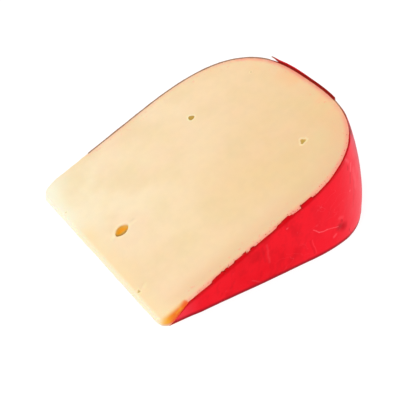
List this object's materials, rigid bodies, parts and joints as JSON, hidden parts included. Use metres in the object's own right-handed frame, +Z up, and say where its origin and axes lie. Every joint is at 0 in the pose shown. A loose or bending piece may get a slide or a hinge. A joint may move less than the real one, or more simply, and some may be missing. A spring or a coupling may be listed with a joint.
{
  "type": "cheese wedge",
  "caption": "Wedge cut from a round wheel of pale yellow semi-hard cheese, lying on its cut face, with a glossy red wax coat, a few small eyes and a thin blunt tip.",
  "frame": {"origin": "centre of the bounding box, on the flat cut face that the wedge lies on", "axes": "+Z up from the cut face it lies on; the thin tip points to -X and the waxed rim to +X; Y runs across the wheel's thickness, and the waxed side at -Y is the front"},
  "size_m": [0.118, 0.105, 0.0478],
  "materials": {
    "cheese_paste": "satin",
    "red_wax": "gloss"
  },
  "bodies": {
    "root": {"cheese_wedge": "cheese_paste"}
  },
  "joints": []
}
